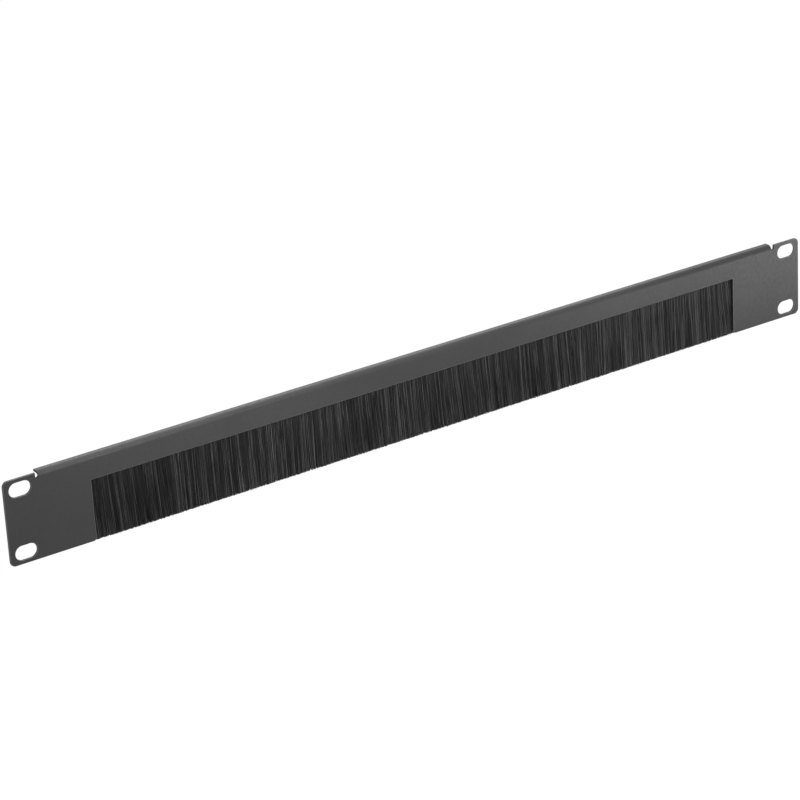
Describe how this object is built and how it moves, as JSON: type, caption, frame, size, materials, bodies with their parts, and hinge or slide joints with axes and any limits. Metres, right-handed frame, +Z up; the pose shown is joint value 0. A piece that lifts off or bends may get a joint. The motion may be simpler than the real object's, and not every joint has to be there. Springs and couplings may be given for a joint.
{
  "type": "rack brush strip panel",
  "caption": "One-unit front panel for a 19 inch rack with a wide cut-out and a hanging strip brush that lets cables through and keeps dust and air back.",
  "frame": {"origin": "centre of the four mounting slots, on the back face of the ears", "axes": "+X along the panel's width, +Y back into the rack, +Z up; the front faces -Y"},
  "size_m": [0.4826, 0.0112, 0.0441],
  "materials": {
    "powder_coat": "black powder coat, satin, with a fine texture",
    "nylon_filament": "black nylon filaments with a soft sheen",
    "galvanised_steel": "galvanised strip, dull",
    "zinc_plate": "clear zinc plate, semi-bright"
  },
  "bodies": {
    "root": {"front_panel": "powder_coat", "brush_channel": "galvanised_steel", "core_wire": "galvanised_steel", "bristles": "nylon_filament", "retaining_bar": "zinc_plate", "weld_stud_1": "zinc_plate", "weld_stud_2": "zinc_plate", "weld_stud_3": "zinc_plate", "weld_stud_4": "zinc_plate", "weld_stud_5": "zinc_plate", "weld_stud_6": "zinc_plate", "washer_1": "zinc_plate", "washer_2": "zinc_plate", "washer_3": "zinc_plate", "washer_4": "zinc_plate", "washer_5": "zinc_plate", "washer_6": "zinc_plate", "hex_nut_1": "zinc_plate", "hex_nut_2": "zinc_plate", "hex_nut_3": "zinc_plate", "hex_nut_4": "zinc_plate", "hex_nut_5": "zinc_plate", "hex_nut_6": "zinc_plate"}
  },
  "joints": []
}
